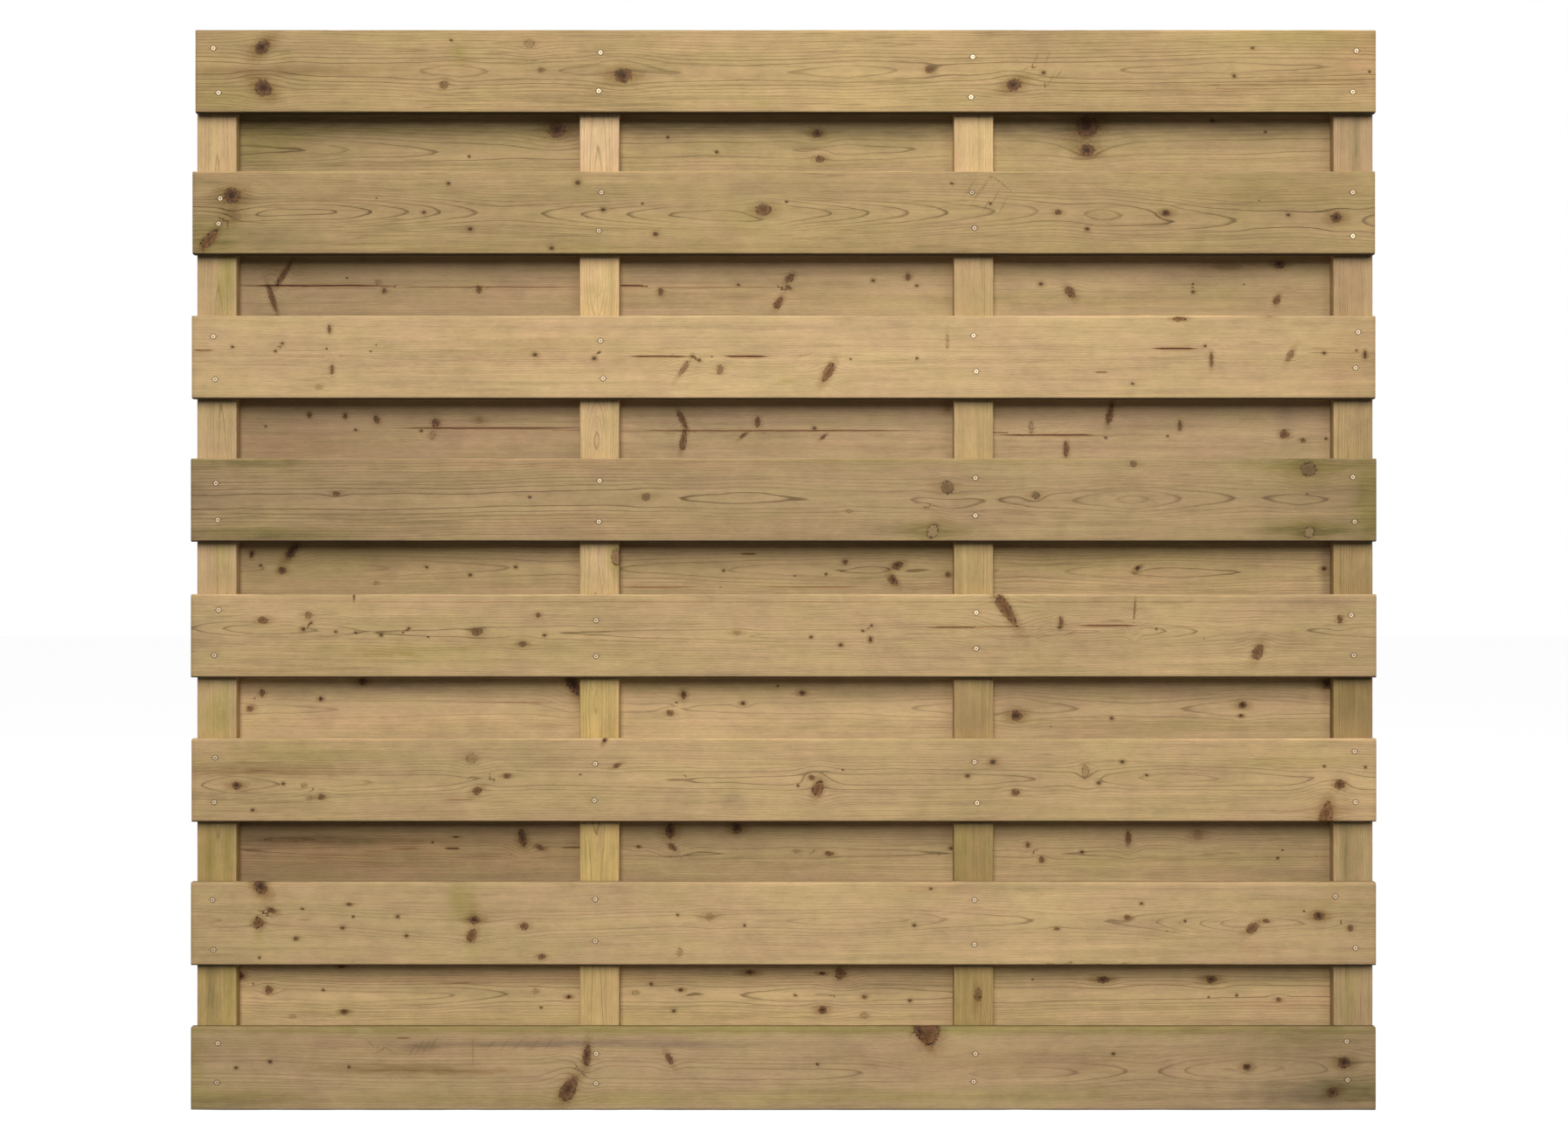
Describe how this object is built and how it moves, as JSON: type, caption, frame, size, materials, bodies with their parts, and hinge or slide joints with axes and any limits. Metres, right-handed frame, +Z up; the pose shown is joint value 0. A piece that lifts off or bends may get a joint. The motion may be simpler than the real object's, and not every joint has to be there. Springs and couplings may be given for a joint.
{
  "type": "hit-and-miss garden fence panel",
  "caption": "Garden fence panel of horizontal boards screwed alternately to the front and back of upright battens, so that it screens the view while air passes between the boards.",
  "frame": {"origin": "on the flat outer edge of the left batten, which is fixed to a post, half way up the panel and half way through the batten's thickness", "axes": "+X along the panel from the left batten to the right one, +Z up, and the front boards face -Y"},
  "size_m": [1.8, 0.052, 1.6404],
  "materials": {
    "board_wood": "planed softwood, pressure treated, matt",
    "batten_wood": "planed softwood, pressure treated, matt",
    "screw_steel": "plated countersunk screw heads"
  },
  "bodies": {
    "root": {"front_board_1": "board_wood", "front_board_2": "board_wood", "front_board_3": "board_wood", "front_board_4": "board_wood", "front_board_5": "board_wood", "front_board_6": "board_wood", "front_board_7": "board_wood", "front_board_8": "board_wood", "back_board_1": "board_wood", "back_board_2": "board_wood", "back_board_3": "board_wood", "back_board_4": "board_wood", "back_board_5": "board_wood", "back_board_6": "board_wood", "back_board_7": "board_wood", "batten_left": "batten_wood", "batten_mid_left": "batten_wood", "batten_mid_right": "batten_wood", "batten_right": "batten_wood"}
  },
  "joints": []
}
